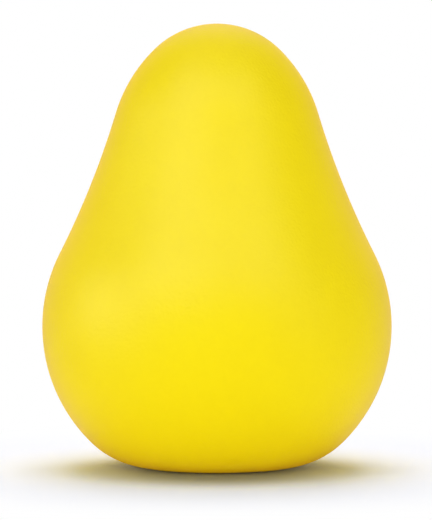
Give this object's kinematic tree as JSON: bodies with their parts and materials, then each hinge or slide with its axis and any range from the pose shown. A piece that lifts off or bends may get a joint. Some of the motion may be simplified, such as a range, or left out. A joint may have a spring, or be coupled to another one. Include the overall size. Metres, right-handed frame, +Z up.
{
  "type": "egg shaker",
  "caption": "Pear-shaped egg shaker: a seamless soft sleeve over a sealed rattle capsule of loose steel shot, standing on a flat foot with a snap-in plug.",
  "frame": {"origin": "centre of the flat foot, on the surface that the egg stands on", "axes": "+Z up the axis of revolution to the crown; +X and +Y are level, with +X through the first shot"},
  "size_m": [0.0474, 0.0474, 0.06],
  "materials": {
    "soft_sleeve": "matte moulded silicone rubber, yellow right through",
    "capsule_shell": "injection-moulded ABS, natural off-white",
    "foot_plug": "injection-moulded polypropylene, yellow, fine spark-eroded texture",
    "shot": "tumbled steel balls"
  },
  "bodies": {
    "egg": {"soft_sleeve": "soft_sleeve", "upper_shell": "capsule_shell", "lower_shell": "capsule_shell", "foot_plug": "foot_plug"},
    "shot_01_ball": {"shot_01": "shot"},
    "shot_02_ball": {"shot_02": "shot"},
    "shot_03_ball": {"shot_03": "shot"},
    "shot_04_ball": {"shot_04": "shot"},
    "shot_05_ball": {"shot_05": "shot"},
    "shot_06_ball": {"shot_06": "shot"},
    "shot_07_ball": {"shot_07": "shot"},
    "shot_08_ball": {"shot_08": "shot"},
    "shot_09_ball": {"shot_09": "shot"},
    "shot_10_ball": {"shot_10": "shot"},
    "shot_11_ball": {"shot_11": "shot"},
    "shot_12_ball": {"shot_12": "shot"},
    "shot_13_ball": {"shot_13": "shot"},
    "shot_14_ball": {"shot_14": "shot"},
    "shot_15_ball": {"shot_15": "shot"},
    "shot_16_ball": {"shot_16": "shot"},
    "shot_17_ball": {"shot_17": "shot"},
    "shot_18_ball": {"shot_18": "shot"},
    "shot_19_ball": {"shot_19": "shot"},
    "shot_20_ball": {"shot_20": "shot"},
    "shot_21_ball": {"shot_21": "shot"},
    "shot_22_ball": {"shot_22": "shot"},
    "shot_23_ball": {"shot_23": "shot"},
    "shot_24_ball": {"shot_24": "shot"}
  },
  "joints": [
    {"name": "shot_01_flight", "type": "slide", "parent": "egg", "child": "shot_01_ball", "axis": [0, 0, 1], "range_m": [0, 0.0435]},
    {"name": "shot_02_flight", "type": "slide", "parent": "egg", "child": "shot_02_ball", "axis": [0, 0, 1], "range_m": [0, 0.0435]},
    {"name": "shot_03_flight", "type": "slide", "parent": "egg", "child": "shot_03_ball", "axis": [0, 0, 1], "range_m": [0, 0.0435]},
    {"name": "shot_04_flight", "type": "slide", "parent": "egg", "child": "shot_04_ball", "axis": [0, 0, 1], "range_m": [0, 0.0435]},
    {"name": "shot_05_flight", "type": "slide", "parent": "egg", "child": "shot_05_ball", "axis": [0, 0, 1], "range_m": [0, 0.0435]},
    {"name": "shot_06_flight", "type": "slide", "parent": "egg", "child": "shot_06_ball", "axis": [0, 0, 1], "range_m": [0, 0.0435]},
    {"name": "shot_07_flight", "type": "slide", "parent": "egg", "child": "shot_07_ball", "axis": [0, 0, 1], "range_m": [0, 0.0435]},
    {"name": "shot_08_flight", "type": "slide", "parent": "egg", "child": "shot_08_ball", "axis": [0, 0, 1], "range_m": [0, 0.0435]},
    {"name": "shot_09_flight", "type": "slide", "parent": "egg", "child": "shot_09_ball", "axis": [0, 0, 1], "range_m": [0, 0.0435]},
    {"name": "shot_10_flight", "type": "slide", "parent": "egg", "child": "shot_10_ball", "axis": [0, 0, 1], "range_m": [0, 0.0314]},
    {"name": "shot_11_flight", "type": "slide", "parent": "egg", "child": "shot_11_ball", "axis": [0, 0, 1], "range_m": [0, 0.0314]},
    {"name": "shot_12_flight", "type": "slide", "parent": "egg", "child": "shot_12_ball", "axis": [0, 0, 1], "range_m": [0, 0.0314]},
    {"name": "shot_13_flight", "type": "slide", "parent": "egg", "child": "shot_13_ball", "axis": [0, 0, 1], "range_m": [0, 0.0314]},
    {"name": "shot_14_flight", "type": "slide", "parent": "egg", "child": "shot_14_ball", "axis": [0, 0, 1], "range_m": [0, 0.0314]},
    {"name": "shot_15_flight", "type": "slide", "parent": "egg", "child": "shot_15_ball", "axis": [0, 0, 1], "range_m": [0, 0.0314]},
    {"name": "shot_16_flight", "type": "slide", "parent": "egg", "child": "shot_16_ball", "axis": [0, 0, 1], "range_m": [0, 0.0314]},
    {"name": "shot_17_flight", "type": "slide", "parent": "egg", "child": "shot_17_ball", "axis": [0, 0, 1], "range_m": [0, 0.0314]},
    {"name": "shot_18_flight", "type": "slide", "parent": "egg", "child": "shot_18_ball", "axis": [0, 0, 1], "range_m": [0, 0.0314]},
    {"name": "shot_19_flight", "type": "slide", "parent": "egg", "child": "shot_19_ball", "axis": [0, 0, 1], "range_m": [0, 0.0314]},
    {"name": "shot_20_flight", "type": "slide", "parent": "egg", "child": "shot_20_ball", "axis": [0, 0, 1], "range_m": [0, 0.0314]},
    {"name": "shot_21_flight", "type": "slide", "parent": "egg", "child": "shot_21_ball", "axis": [0, 0, 1], "range_m": [0, 0.0314]},
    {"name": "shot_22_flight", "type": "slide", "parent": "egg", "child": "shot_22_ball", "axis": [0, 0, 1], "range_m": [0, 0.0314]},
    {"name": "shot_23_flight", "type": "slide", "parent": "egg", "child": "shot_23_ball", "axis": [0, 0, 1], "range_m": [0, 0.0314]},
    {"name": "shot_24_flight", "type": "slide", "parent": "egg", "child": "shot_24_ball", "axis": [0, 0, 1], "range_m": [0, 0.0314]}
  ]
}
